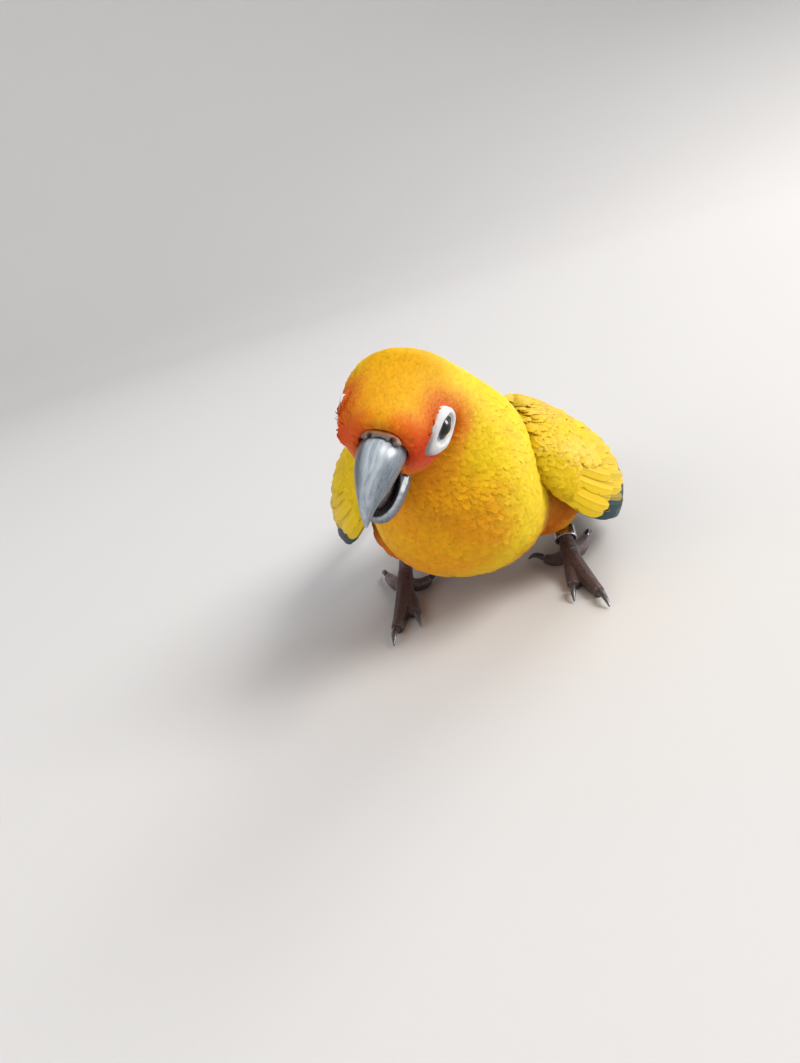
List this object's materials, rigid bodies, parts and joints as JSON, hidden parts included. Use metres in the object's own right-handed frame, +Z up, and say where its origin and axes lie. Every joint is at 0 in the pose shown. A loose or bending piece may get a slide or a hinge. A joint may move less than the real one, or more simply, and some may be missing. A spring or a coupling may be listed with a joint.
{
  "type": "sun conure",
  "caption": "Life-size still model of a sun conure parrot leaning forward with its head tilted, bill open, wings held slightly out and long tail resting behind.",
  "frame": {"origin": "on the ground under the middle of the whole bird's box", "axes": "+Z up, -Y the way the body faces, +Y towards the tail, +X the bird's left"},
  "size_m": [0.0982, 0.254, 0.088],
  "materials": {
    "plumage_head": "soft short feathers, golden orange with a red-orange face",
    "plumage_body": "soft contour feathers, golden yellow with orange patches",
    "plumage_wing": "smooth feathers, bright yellow coverts and blue-green flight feathers",
    "plumage_tail": "smooth long feathers, olive green turning dark blue at the tips",
    "bill": "semi-gloss slate grey horn with pale streaks",
    "bare_skin": "matt pale grey wrinkled skin",
    "tongue": "moist dark grey",
    "eye": "wet dark brown eye with a clear front",
    "foot_skin": "scaly dark reddish grey skin, slightly glossy",
    "claw": "semi-gloss dark horn",
    "ring": "worn satin steel"
  },
  "bodies": {
    "root": {"bill_lower": "bill", "bill_upper": "bill", "cere": "bare_skin", "claw_left_inner_back": "claw", "claw_left_inner_front": "claw", "claw_left_outer_back": "claw", "claw_left_outer_front": "claw", "claw_right_inner_back": "claw", "claw_right_inner_front": "claw", "claw_right_outer_back": "claw", "claw_right_outer_front": "claw", "eye_left": "eye", "eye_right": "eye", "eye_skin_left": "bare_skin", "eye_skin_right": "bare_skin", "foot_left": "foot_skin", "foot_right": "foot_skin", "head": "plumage_head", "leg_ring": "ring", "neck": "plumage_head", "tail": "plumage_tail", "thigh_left": "plumage_body", "thigh_right": "plumage_body", "tongue": "tongue", "torso": "plumage_body", "wing_left": "plumage_wing", "wing_right": "plumage_wing"}
  },
  "joints": []
}
